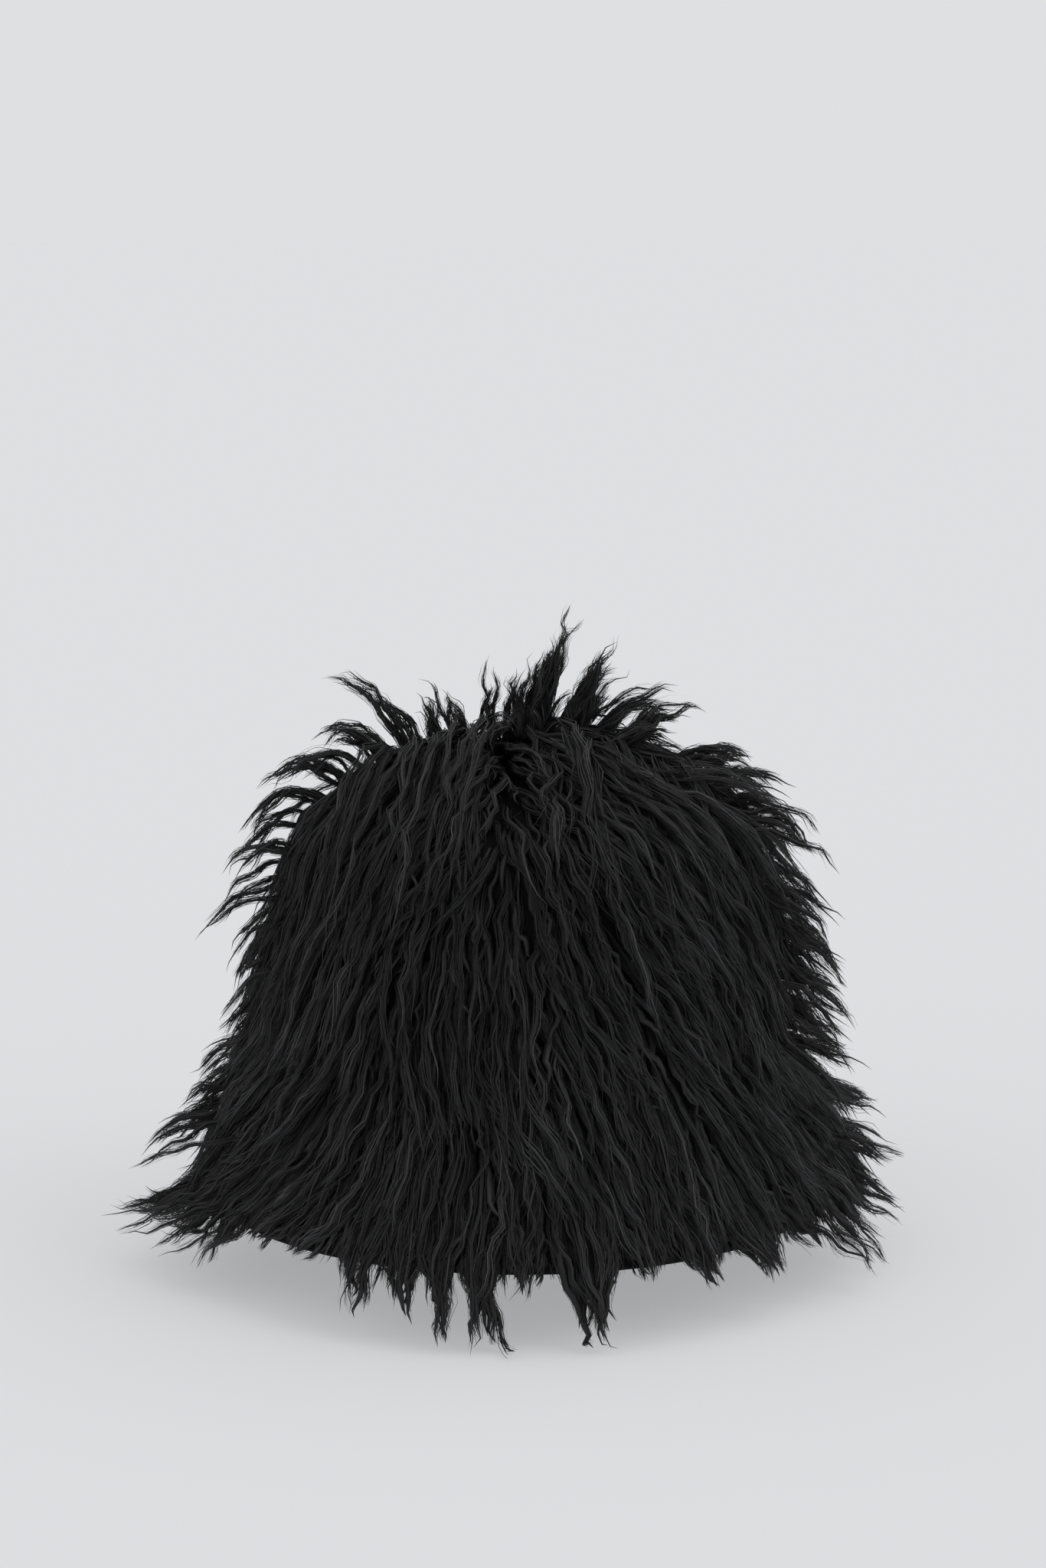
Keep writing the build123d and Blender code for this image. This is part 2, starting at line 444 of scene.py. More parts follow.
def growLocks(rng, s, azimuth, length, layer, rise, tall, tipLift, patch, hem):
    # marches each lock down the hat from its root, then past the hem under its own weight
    count, step, steps = len(s), furCoat["step"], furCoat["steps"]
    s, azimuth, home, cut = s.copy(), azimuth.copy(), azimuth.copy(), length.copy()
    wander = rng.normal(0, math.radians(4), count) + patch["lean"]
    squeeze = 0.27 - 0.13 * np.sin(azimuth)  # the coat lies closest over the shoulder at -X
    free = np.zeros(count, bool)
    swing, r, z = np.zeros(count), np.zeros(count), np.zeros(count)
    fall = np.full(count, shape["flare"])
    position, outward = np.zeros((count, steps, 3)), np.zeros((count, steps, 3))
    for k in range(steps):
        t = np.clip(k * step / length, 0, 1)
        onBrim = smooth(s, shape["brimSeam"] - 0.010, shape["hem"] - 0.012)
        onCloth, normal = onHat(s, azimuth, coatLift(s, t, layer, rise, tipLift, onBrim, squeeze))
        radial = np.stack([np.sin(azimuth), -np.cos(azimuth), np.zeros(count)], -1)
        loose, looseOut = radial * r[:, None], radial * np.cos(fall)[:, None]
        loose[:, 2], looseOut[:, 2] = z, np.sin(fall)
        position[:, k] = np.where(free[:, None], loose, onCloth)
        outward[:, k] = np.where(free[:, None], looseOut, normal)
        reachOut = np.hypot(position[:, k, 0], position[:, k, 1])
        radius = np.maximum(reachOut, 0.006)
        # over the cloth, and towards the middle of a tuft as the hem comes near
        down, across, lean = lockCourse(s, azimuth, onCloth, radial, onBrim, wander, tall)
        nearest, toMiddle, aside = nearestTuft(hem, azimuth)
        edge = smooth(s, shape["hem"] - furCoat["edge"], shape["hem"])
        azimuth = np.where(free, azimuth, azimuth + toMiddle * edge * step / furCoat["gatherIn"])
        nextS = s + step * down
        looseLean = np.where(free, lean * 0.6 + swing, 0)
        pull = (home - azimuth) * np.clip(step / 0.015, 0, 1)
        azimuth = np.where(free, azimuth + step * np.sin(looseLean) / radius + pull,
                           azimuth + step * across / radius + (nextS < 0) * math.pi)
        # where it leaves the cloth it takes its tuft's middle and length
        justFreed = (~free) & (nextS > shape["hem"])
        s = np.where(free, s, np.abs(nextS))
        point = hem["length"][nearest] * (1 - 1.05 * np.clip(aside, 0, 1) ** 1.7)
        point = point * rng.uniform(0.55, 1.08, count) - 0.001
        swing = np.where(justFreed, hem["swing"][nearest], swing)
        home = np.where(justFreed, azimuth + toMiddle, home)
        r = np.where(justFreed, reachOut, r)
        z = np.where(justFreed, position[:, k, 2], z)
        ends = np.where(k * step < cut, k * step + point, np.minimum(cut, k * step + point))
        cut = np.where(justFreed, ends, cut)
        free = free | justFreed
        # past the hem
        target = np.radians(roundHat("hemFlare", azimuth)) + patch["flare"]
        fall = np.where(free, fall + (target - fall) * np.clip(step / 0.016, 0, 1), fall)
        r = np.where(free, r + step * np.sin(fall) * np.cos(looseLean), r)
        z = np.where(free, z - step * np.cos(fall) * np.cos(looseLean), z)
        floorAt = furCoat["lowest"] + 0.002 * rng.uniform(0, 1, count)
        grounded = free & (z < floorAt)
        z = np.where(grounded, floorAt, z)
        fall = np.where(grounded, math.radians(86), fall)
        home = np.where(free, home + step * np.sin(looseLean) / radius, home)

    # cut each lock to its length
    cut = np.maximum(cut, 0.002)
    t = np.linspace(0, 1, furCoat["points"])
    place = t[None, :] * np.minimum(cut / step, steps - 1.001)[:, None]
    low = place.astype(int)
    part = (place - low)[..., None]
    row = np.arange(count)[:, None]
    position = position[row, low] * (1 - part) + position[row, low + 1] * part
    outward = unit(outward[row, low] * (1 - part) + outward[row, low + 1] * part)
    return position, outward, cut


def gatherTufts(position, patch, gather):
    # the locks of one patch draw together towards their tips
    index = patch["index"]
    members = np.maximum(np.bincount(index, minlength=index.max() + 1), 1)
    middle = np.zeros((index.max() + 1,) + position.shape[1:])
    np.add.at(middle, index, position)
    middle /= members[:, None, None]
    t = np.linspace(0, 1, position.shape[1])
    pull = gather[:, None] * t[None, :] ** 1.8
    return position + (middle[index] - position) * pull[..., None]


def crimp(rng, position, outward, length, size, wave):
    # a slow side to side wave, and a smaller one in and out
    count, points = position.shape[:2]
    t = np.linspace(0, 1, points)
    sideways = unit(np.cross(unit(np.gradient(position, axis=1)), outward))
    phase = rng.uniform(0, 2 * math.pi, (count, 3))
    grow = smooth(t, 0.0, 0.25)[None, :]
    turn = 2 * math.pi * t[None, :] * (length / wave)[:, None]
    swing = np.sin(turn + phase[:, :1]) + 0.5 * np.sin(turn * 1.73 + phase[:, 1:2])
    bob = np.sin(turn * 0.91 + phase[:, 2:])
    position = position + sideways * (swing * size[:, None] * grow)[..., None]
    position = position + outward * (bob * size[:, None] * 0.6 * grow)[..., None]
    position[..., 2] = np.maximum(position[..., 2], furCoat["lowest"])
    return position


def patches(rng, s, azimuth, spacing):
    # small areas of the coat that share a lean, a fall and a lift
    tuftS, tuftAzimuth = scatterRoots(rng, spacing, 0, shape["hem"])
    centres = onHat(tuftS, tuftAzimuth, np.zeros(len(tuftS)))[0]
    roots = onHat(s, azimuth, np.zeros(len(s)))[0]
    index = np.array([np.argmin(((centres - root) ** 2).sum(1)) for root in roots])
    count = len(tuftS)
    return {
        "index": index,
        "lean": rng.normal(0, math.radians(8), count)[index],
        "flare": rng.normal(0, math.radians(7), count)[index],
        "length": rng.uniform(0.85, 1.12, count)[index],
        "lift": rng.uniform(0, 1, count)[index] ** 1.6,
    }


def coatGuides(rng, kind, hem):
    style = lockKinds[kind]
    s, azimuth = scatterRoots(rng, style["spacing"], 0, shape["hem"])
    count = len(s)
    patch = patches(rng, s, azimuth, furCoat["tuftSpacing"])
    onBrim = smooth(s, shape["brimSeam"] - 0.06, shape["hem"])
    onTop = 1 - smooth(s, 0.04, 0.10)
    middle, spread = furCoat["hollow"]
    apart = onHat(s, azimuth, np.zeros(count))[0] - np.array(middle)
    hollow = np.exp(-((apart ** 2).sum(1)) / spread ** 2)
    length = rng.uniform(*style["length"], count) * (1 - 0.12 * onTop) * patch["length"]
    length = length * (1 - 0.45 * hollow * style["tall"])
    layer = style["depth"] * rng.uniform(*style["layers"], count) * (1 - 0.35 * hollow)
    rise = 0.72 - 0.38 * onTop
    chance = patch["lift"] * rng.uniform(0.5, 1.2, count) * style["tall"]
    tipLift = [roundHat(name, azimuth) * chance / 1000 for name in ("crownLift", "brimLift")]
    position, outward, length = growLocks(rng, s, azimuth, length, layer, rise, style["tall"],
                                          tipLift, patch, hem)
    gather = np.clip(0.35 + 0.35 * onBrim + rng.uniform(-0.15, 0.15, count), 0, 0.9)
    hanging = position[:, -1, 2] < np.interp(shape["hem"], shape["s"], shape["z"]) + 0.002
    position = gatherTufts(position, patch, np.where(hanging, 0.1, gather))
    position = crimp(rng, position, outward, length, rng.uniform(*style["crimpSize"], count),
                     rng.uniform(*style["crimpLength"], count))
    width = rng.uniform(*style["width"], count) * smooth(length, 0.0, 0.03) * (1 - 0.28 * onTop)
    print("%s: %d locks" % (kind, count))
    # the tone carries painted shade: the coat darker in the hollow under the forelocks
    return {"kind": kind, "s": s, "azimuth": azimuth, "position": position, "outward": outward,
            "width": np.maximum(width, 0.001), "tone": 1 - 0.55 * hollow}


# tufts and wisps that stand off the coat, left and right as seen from the front, in millimetres:
# a point by the root, the tip, how far the middle bows up, spread of the roots, number of locks
# and their width
standing = {
    "crest": (
        ((-12, 4, 199), (-10, 6, 241), 4, 4, 5, 2.6),
        ((-4, 6, 199), (-2, 8, 239), 4, 5, 7, 3.2),
        ((4, 6, 199), (17, 8, 251), 5, 8, 16, 4.2),
        ((8, 2, 199), (20, 2, 260), 5, 5, 5, 2.4),
        ((14, 8, 199), (36, 12, 244), 6, 7, 13, 4.0),
        ((18, 2, 199), (41, 4, 253), 7, 4, 4, 2.4),
        ((24, 4, 198), (62, 6, 226), 8, 7, 10, 3.8),
        ((30, -8, 197), (60, -16, 213), 7, 7, 10, 4.0),
        ((34, 12, 196), (70, 22, 219), 8, 7, 9, 3.8),
        ((-22, 10, 199), (-30, 14, 226), 6, 6, 8, 3.4),
        ((-2, -4, 199), (6, -12, 228), 6, 9, 7, 3.0),
        ((12, -6, 199), (24, -14, 226), 6, 9, 7, 3.0),
        ((0, 16, 199), (8, 24, 240), 6, 10, 6, 3.0),
        ((22, 16, 198), (40, 26, 230), 6, 10, 7, 3.0),
    ),
    "forelocks": (
        ((-22, 16, 199), (-48, -92, 148), 38, 12, 9, 3.6),
        ((-36, 10, 198), (-74, -80, 142), 34, 12, 8, 3.6),
        ((-6, 20, 199), (-30, -94, 160), 40, 12, 5, 3.2),
        ((4, 20, 199), (14, -98, 138), 40, 10, 7, 3.6),
        ((16, 14, 199), (34, -98, 150), 38, 12, 10, 3.6),
        ((30, 12, 198), (60, -88, 144), 34, 12, 9, 3.6),
        ((44, 8, 196), (80, -66, 146), 30, 12, 7, 3.6),
        ((-12, -26, 197), (-26, -84, 178), 10, 22, 10, 2.4),
        ((4, -30, 196), (6, -88, 176), 10, 22, 10, 2.4),
    ),
    "left_wisps": (
        ((-42, 2, 195), (-77, 4, 233), 12, 5, 3, 3.0),
        ((-36, 6, 196), (-62, 10, 226), 8, 6, 4, 3.2),
        ((-30, 4, 197), (-44, 6, 228), 6, 6, 4, 3.0),
        ((-26, 8, 198), (-37, 12, 230), 5, 6, 4, 2.8),
        ((-46, -6, 194), (-84, -8, 213), 12, 6, 4, 3.2),
        ((-50, 4, 193), (-75, 6, 207), 10, 6, 4, 3.2),
        ((-58, -4, 190), (-95, -6, 196), 13, 6, 4, 3.4),
        ((-66, 4, 186), (-104, 8, 187), 13, 6, 4, 3.4),
        ((-74, -6, 178), (-113, -8, 171), 12, 6, 4, 3.2),
        ((-78, 6, 172), (-111, 10, 160), 9, 6, 4, 3.2),
        ((-82, 0, 162), (-121, -4, 153), 9, 6, 4, 3.2),
        ((-84, -8, 152), (-128, -10, 134), 8, 6, 4, 3.0),
        ((-87, 6, 140), (-117, 8, 118), 6, 7, 4, 3.2),
        ((-90, 0, 128), (-118, 0, 104), 5, 7, 5, 3.4),
        ((-92, -4, 112), (-120, -4, 86), 4, 8, 5, 3.4),
    ),
    "left_sweeps": (
        ((-108, -34, 46), (-164, -14, 17), -9, 8, 15, 3.8),
        ((-100, -52, 44), (-124, -60, 15), -4, 9, 10, 3.6),
        ((-104, -44, 42), (-146, -40, 14), -6, 8, 9, 3.6),
        ((-108, -8, 62), (-151, 0, 43), 3, 8, 10, 3.6),
        ((-104, 4, 76), (-141, 8, 55), 4, 7, 8, 3.4),
        ((-100, 12, 86), (-134, 18, 68), 4, 7, 6, 3.4),
    ),
    "right_feathers": (
        ((58, -4, 190), (94, -8, 203), 8, 8, 10, 3.8),
        ((66, 4, 186), (107, 6, 188), 8, 8, 10, 3.8),
        ((76, -4, 178), (119, -8, 166), 8, 8, 11, 3.8),
        ((82, 8, 166), (113, 12, 152), 7, 8, 8, 3.6),
        ((86, -2, 152), (126, -4, 131), 7, 9, 12, 3.8),
        ((90, 4, 136), (131, 8, 112), 6, 9, 12, 3.8),
        ((93, -4, 122), (133, -8, 101), 5, 9, 10, 3.8),
        ((95, 2, 106), (129, 4, 81), 5, 9, 10, 3.8),
    ),
    "right_sweeps": (
        ((106, 36, 62), (150, 50, 45), 4, 9, 12, 3.8),
        ((112, 12, 50), (153, 14, 33), 2, 9, 10, 3.6),
        ((112, -8, 44), (156, -8, 16), -4, 8, 11, 3.6),
        ((106, -34, 42), (143, -44, 9), -3, 8, 10, 3.6),
        ((104, 30, 80), (138, 40, 66), 4, 9, 10, 3.8),
    ),
}


def standingGuides(rng, name):
    lines, outs, widths = [], [], []
    t = np.linspace(0, 1, furCoat["points"])[:, None]
    for root, tip, bow, spread, count, width in standing[name]:
        scatter = 14 * smooth(abs(root[0]), 50, 80)  # at the sides the tufts stand front to back
        for _ in range(count):
            drift = np.array([0, rng.normal(0, scatter), 0])
            start = (np.array(root) + drift + rng.normal(0, spread / 2, 3)) / 1000
            across = np.hypot(start[0], start[1]) - shape["r"]
            sHere = shape["s"][np.argmin(across ** 2 + (start[2] - shape["z"]) ** 2)]
            turn = math.atan2(start[0], -start[1])
            foot, out = onHat(np.array([sHere]), np.array([turn]), np.zeros(1))
            end = (np.array(tip) + drift + rng.normal(0, spread / 2.6, 3)) / 1000
            end = foot[0] + (end - foot[0]) * rng.uniform(0.70, 1.0)
            end[2] = max(end[2], furCoat["lowest"])
            middle = foot[0] * 0.5 + end * 0.5 + out[0] * 0.004 + np.array([0, 0, bow / 1000 * 1.6])
            lines.append(foot[0] * (1 - t) ** 2 + middle * 2 * t * (1 - t) + end * t ** 2)
            outs.append(np.repeat(out, len(t), 0) * (1 - t) + np.array([[0, -0.6, 0.8]]) * t)
            widths.append(width / 1000 * rng.uniform(0.8, 1.15))
    position = np.array(lines)
    outward = unit(np.array(outs))
    count = len(position)
    length = np.linalg.norm(np.diff(position, axis=1), axis=-1).sum(1)
    position = crimp(rng, position, outward, length, rng.uniform(0.0008, 0.0018, count),
                     rng.uniform(0.018, 0.030, count))
    print("%s: %d locks" % (name, count))
    return {"kind": "guard", "position": position, "outward": outward, "width": np.array(widths),
            "tone": np.ones(count)}


def buildGuides():
    rng = np.random.default_rng(furCoat["seed"])
    hem = hangingTufts(rng)
    coats = {kind: coatGuides(rng, kind, hem) for kind in lockKinds}
    return coats, {name: standingGuides(rng, name) for name in standing}


coats, crest = buildGuides()

# ---- strands: each guide becomes a soft core with hairs round it

strandStyle = {
    "hairWidth": 0.00036,
    "hairPoints": 14,
    "corePoints": 11,
    "coreSides": 4,
    "cellsAcross": 128,
}


def newTree(name, values, takesMesh):  # a node tree, with the numbers and sizes that a modifier sets
    tree = bpy.data.node_groups.new(name, "GeometryNodeTree")
    if takesMesh:
        tree.interface.new_socket(name="Geometry", in_out="INPUT", socket_type="NodeSocketGeometry")
    identifiers = {}
    for label, value in values.items():
        kind = "NodeSocketInt" if isinstance(value, int) else "NodeSocketFloat"
        socket = tree.interface.new_socket(name=label, in_out="INPUT", socket_type=kind)
        socket.default_value = value
        identifiers[label] = socket.identifier
    tree.interface.new_socket(name="Geometry", in_out="OUTPUT", socket_type="NodeSocketGeometry")
    return tree, identifiers


def endTree(add, geometry, material):
    real = add("GeometryNodeRealizeInstances", {"Geometry": geometry})
    dressed = add("GeometryNodeSetMaterial", {"Geometry": real.outputs[0], "Material": material})
    add("NodeGroupOutput", {"Geometry": dressed.outputs[0]})


def readValue(add, name, kind="FLOAT"):
    return add("GeometryNodeInputNamedAttribute", {"Name": name}, data_type=kind).outputs[0]


def storeValue(add, geometry, name, value, kind="FLOAT", domain="POINT"):
    node = add("GeometryNodeStoreNamedAttribute", {"Geometry": geometry, "Name": name, "Value": value},
               data_type=kind, domain=domain)
    return node.outputs[0]


def profile(add, along, points):  # a width or an amount that changes from root to tip
    node = add("ShaderNodeFloatCurve", {"Value": along})
    curve = node.mapping.curves[0]
    curve.points[0].location = points[0]
    curve.points[1].location = points[-1]
    for point in points[1:-1]:
        curve.points.new(*point)
    node.mapping.update()
    return node.outputs[0]


def strandTree(material):
    tree, identifiers = newTree("fur_strands", {
        "Hairs": 12,
        "Hair Width": strandStyle["hairWidth"],
        "Core Share": 0.5,
        "Frizz": 0.001,
        "Cells Down": 32.0,
        "Seed": 3,
    }, takesMesh=True)
    add, calc, vector = toolsFor(tree)
    given = add("NodeGroupInput").outputs
    lines = add("GeometryNodeMeshToCurve", {"Mesh": given["Geometry"]}).outputs[0]
    lockWidth = readValue(add, "lockWidth")
    outward = readValue(add, "outward", "FLOAT_VECTOR")
    along = add("GeometryNodeSplineParameter").outputs["Factor"]
    curveIndex = add("GeometryNodeCurveOfPoint").outputs["Curve Index"]

    # the core
    coreLines = add("GeometryNodeResampleCurve", {"Curve": lines, "Count": strandStyle["corePoints"]})
    coreTaper = profile(add, along, ((0, 0.7), (0.25, 1), (0.6, 0.85), (0.85, 0.45), (1, 0.03)))
    coreHalf = calc("MULTIPLY", calc("MULTIPLY", lockWidth, given["Core Share"]), 0.5)
    ring = add("GeometryNodeCurvePrimitiveCircle", {"Resolution": strandStyle["coreSides"], "Radius": 1.0})
    cores = add("GeometryNodeCurveToMesh", {
        "Curve": markCurves(add, coreLines.outputs[0], along, curveIndex),
        "Profile Curve": storeValue(add, ring.outputs[0], "across", along),
        "Scale": calc("MULTIPLY", coreHalf, coreTaper),
    })

    # the hairs round it
    copies = add("GeometryNodeDuplicateElements", {"Geometry": lines, "Amount": given["Hairs"]},
                 domain="SPLINE")
    hairLines = add("GeometryNodeResampleCurve",
                    {"Curve": copies.outputs["Geometry"], "Count": strandStyle["hairPoints"]})

    def chance(low, high, extra):
        seed = calc("ADD", given["Seed"], float(extra))
        return add("FunctionNodeRandomValue",
                   {"Min_001": low, "Max_001": high, "ID": curveIndex, "Seed": seed},
                   data_type="FLOAT").outputs[1]

    turn = calc("MULTIPLY_ADD", along, chance(-2.5, 2.5, 1), chance(0, 6.2832, 2))
    tangent = add("GeometryNodeInputTangent").outputs[0]
    sideways = vector("NORMALIZE", vector("CROSS_PRODUCT", tangent, outward))
    spread = profile(add, along, ((0, 0.7), (0.3, 1), (0.7, 0.95), (1, 0.34)))
    reach = calc("MULTIPLY", lockWidth, spread)
    reach = calc("MULTIPLY", reach, calc("POWER", chance(0.25, 1.0, 3), 0.6))
    reach = calc("MULTIPLY", reach, 0.5)
    outPart = vector("SCALE", outward, calc("COSINE", turn))
    sidePart = vector("SCALE", sideways, calc("SINE", turn))
    facing = vector("ADD", outPart, sidePart)
    # frizz: every hair strays by its own slow noise, more towards its tip
    spot = add("GeometryNodeInputPosition").outputs[0]
    shift = add("ShaderNodeCombineXYZ", {0: chance(0, 50, 4), 1: chance(0, 50, 5), 2: 0.0}).outputs[0]
    seat = vector("ADD", vector("SCALE", spot, 34.0), shift)
    noise = add("ShaderNodeTexNoise", {"Vector": seat, "Scale": 1.0, "Detail": 2.0})
    centred = vector("SUBTRACT", noise.outputs["Color"], (0.5, 0.5, 0.5))
    strayMore = calc("MULTIPLY_ADD", calc("POWER", chance(0, 1, 6), 3.0), 4.0, 1.0)
    stray = calc("MULTIPLY", profile(add, along, ((0, 0.2), (0.4, 0.55), (0.8, 0.85), (1, 1))), strayMore)
    stray = calc("MULTIPLY", calc("MULTIPLY", stray, given["Frizz"]), 2.0)
    offset = vector("ADD", vector("SCALE", facing, reach), vector("SCALE", centred, stray))
    moved = add("GeometryNodeSetPosition", {"Geometry": hairLines.outputs[0], "Offset": offset})
    normals = add("GeometryNodeSetCurveNormal", {"Curve": moved.outputs[0], "Normal": facing}, mode="FREE")
    shorter = add("GeometryNodeTrimCurve", {
        "Curve": markCurves(add, normals.outputs[0], along, curveIndex),
        "End": chance(0.70, 1.0, 7),
    })
    flat = add("GeometryNodeCurvePrimitiveLine", {"Start": (0, -0.5, 0), "End": (0, 0.5, 0)})
    hairTaper = profile(add, along, ((0, 0.8), (0.3, 1), (0.75, 0.8), (1, 0.08)))
    hairs = add("GeometryNodeCurveToMesh", {
        "Curve": shorter.outputs[0],
        "Profile Curve": storeValue(add, flat.outputs[0], "across", along),
        "Scale": calc("MULTIPLY", given["Hair Width"], hairTaper),
    })

    # a small cell of the bake map for every strand
    both = add("GeometryNodeJoinGeometry")
    for strands, start in ((cores, 0.0), (hairs, 0.5)):
        tree.links.new(strandCells(add, calc, given, strands.outputs[0], start), both.inputs[0])
    shaded = add("GeometryNodeSetShadeSmooth", {"Geometry": both.outputs[0]})
    endTree(add, shaded.outputs[0], material)
    return tree, identifiers


def markCurves(add, geometry, along, index):  # rise from root to tip, the strand's number and its tone
    tone = add("FunctionNodeRandomValue",
               {"Min_001": 0.0, "Max_001": 1.0, "ID": index, "Seed": 11}, data_type="FLOAT")
    for name, value in (("rise", along), ("strand", index), ("strandTone", tone.outputs[1])):
        geometry = storeValue(add, geometry, name, value)
    return geometry


def strandCells(add, calc, given, geometry, start):
    # cores fill the left half of the map, hairs the right half
    strand = readValue(add, "strand")
    cells = strandStyle["cellsAcross"] / 2
    inCell = {name: calc("MULTIPLY_ADD", readValue(add, name), 0.8, 0.1) for name in ("across", "rise")}
    u = calc("ADD", inCell["across"], calc("MODULO", strand, cells))
    u = calc("MULTIPLY_ADD", u, 0.5 / cells, start)
    v = calc("ADD", inCell["rise"], calc("FLOOR", calc("DIVIDE", strand, cells)))
    v = calc("DIVIDE", v, given["Cells Down"])
    uv = add("ShaderNodeCombineXYZ", {0: u, 1: v, 2: 0.0}).outputs[0]
    return storeValue(add, geometry, "OFBake", uv, "FLOAT2", "CORNER")


def acrylicPile():
    # modacrylic long pile: near black, with painted shade that darkens the roots between the locks, and a
    # faint sheen along the fibres
    material = newMaterial("modacrylic_long_pile", {"Roughness": 0.58, "Specular IOR Level": 0.30})
    add, calc, vector = toolsFor(material.node_tree)
    rise, tone, across, lockToneAndShade = [
        add("ShaderNodeAttribute", attribute_name=name).outputs["Fac"]
        for name in ("rise", "strandTone", "across", "lockToneAndShade")
    ]
    # painted shade: the colour runs from near black at the root to lighter at the tip, where the locks
    # shade each other less
    ramp = add("ShaderNodeValToRGB", {"Fac": rise})
    ramp.color_ramp.elements[0].color = toLinear("#060606")
    ramp.color_ramp.elements[1].color = toLinear("#262627")
    ramp.color_ramp.elements[1].position = 0.75
    # fibres that run along the strand
    place = add("ShaderNodeCombineXYZ", {0: across, 1: rise, 2: tone}).outputs[0]
    fine = vector("MULTIPLY", place, (16.0, 2.5, 40.0))
    fibres = add("ShaderNodeTexNoise", {"Vector": fine, "Scale": 1.0, "Detail": 2.0}).outputs[0]
    # painted highlight: most strands are dull, a few are painted lighter as if they catch the light
    paintedGlint = mapRange(add, calc("POWER", tone, 5.0), 0.72, 3.0)
    fibreValue = mapRange(add, fibres, 0.6, 1.4, 0.3, 0.7)
    value = calc("MULTIPLY", calc("MULTIPLY", fibreValue, paintedGlint), lockToneAndShade)
    return clothe(material, add, ramp.outputs[0], value, fibres, 0.6, 0.0003)


def guideObject(name, guide, chosen):
    position = guide["position"][chosen]
    count, points = position.shape[:2]
    mesh = bpy.data.meshes.new(name)
    mesh.vertices.add(count * points)
    mesh.vertices.foreach_set("co", position.astype(np.float32).ravel())
    first = np.arange(count)[:, None] * points + np.arange(points - 1)[None, :]
    edges = np.stack([first, first + 1], -1).reshape(-1, 2)
    mesh.edges.add(len(edges))
    mesh.edges.foreach_set("vertices", edges.astype(np.int32).ravel())
    # each lock's random tone, times painted shade: darker for the underfur and in the hollow under the
    # forelocks
    shade = np.random.default_rng(count).uniform(0, 1, count)
    shade = (0.6 + 0.8 * shade) * lockKinds[guide["kind"]]["tone"] * guide["tone"][chosen]
    for label, values in (("lockWidth", guide["width"][chosen]), ("lockToneAndShade", shade)):
        data = mesh.attributes.new(label, "FLOAT", "POINT").data
        data.foreach_set("value", np.repeat(values, points).astype(np.float32))
    outward = mesh.attributes.new("outward", "FLOAT_VECTOR", "POINT")
    outward.data.foreach_set("vector", guide["outward"][chosen].astype(np.float32).ravel())
    return placeMesh(name, mesh)


def bakeNodes(name, maker, tree, values):  # the plain mesh that a node tree makes of an object
    modifier = maker.modifiers.new("nodes", "NODES")
    modifier.node_group = tree
    for identifier, value in values.items():
        modifier[identifier] = value
    graph = bpy.context.evaluated_depsgraph_get()
    graph.update()
    mesh = bpy.data.meshes.new_from_object(maker.evaluated_get(graph), depsgraph=graph)
    mesh.name = name
    maker.modifiers.remove(modifier)
    bpy.data.objects.remove(maker)
    return placeMesh(name, mesh)


def strandPiece(name, guide, chosen):
    style = lockKinds[guide["kind"]]
    cellsDown = math.ceil(len(chosen) * style["hairs"] / (strandStyle["cellsAcross"] / 2))
    piece = bakeNodes(name, guideObject(name + "_guides", guide, chosen), strandsTree, {
        strandInputs["Hairs"]: style["hairs"],
        strandInputs["Core Share"]: style["core"],
        strandInputs["Frizz"]: style["frizz"],
        strandInputs["Cells Down"]: float(cellsDown),
    })
    triangles = sum(len(p.vertices) - 2 for p in piece.data.polygons)
    print("%s: %d locks, %d triangles" % (name, len(chosen), triangles))
    return piece


strandsTree, strandInputs = strandTree(acrylicPile())

panels = {  # CAD fur panel: where its band starts and ends
    "crown_tip": (0, shape["tipSeam"]),
    "crown_front": (shape["tipSeam"], shape["brimSeam"]),
    "crown_back": (shape["tipSeam"], shape["brimSeam"]),
    "brim_front": (shape["brimSeam"], shape["hem"] + 1),
    "brim_back": (shape["brimSeam"], shape["hem"] + 1),
}


def dress(piece, slotName, *nodes, body="hat"):
    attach(piece, body)
    if nodes:
        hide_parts(*nodes)
    return piece


def dressFur():
    halves = {  # the wearer's right and left, and their azimuths
        "tip": (("right", -180, 0), ("left", 0, 180)),
        "front": (("right", -90, 0), ("left", 0, 90)),
        "back": (("left", 90, 180), ("right", -180, -90)),
    }
    for panel, (low, high) in panels.items():
        for kind, guide in coats.items():
            inBand = (guide["s"] >= low) & (guide["s"] < high)
            degrees = np.degrees(guide["azimuth"])
            for side, first, last in halves[panel.split("_")[1]]:
                chosen = np.nonzero(inBand & (degrees >= first) & (degrees < last))[0]
                piece = strandPiece("_".join((panel, side, kind)), guide, chosen)
                dress(piece, "faux_fur", panel + "_fur")
    for name, guide in crest.items():
        dress(strandPiece(name, guide, np.arange(len(guide["width"]))), "faux_fur")


dressFur()

# ---- cloth: the backing, and everything sewn inside

cloth = {  # depths of the faces under the backing's outer face, in metres
    "lining": 0.0024,
    "bandBack": 0.0030,
    "bandFace": 0.0041,
    "facing": 0.0028,
    "hemFold": 0.0014,
    "foldDepth": 0.0013,  # how far the lining's soft folds stand in
    "folds": 26,
    "puckers": 64,
    "bandWidth": 0.032,
    "labelHalf": 0.0228,  # half the brand label's width, and the radius that it lies at
    "labelRadius": 0.0872,
    "seed": 21,
}


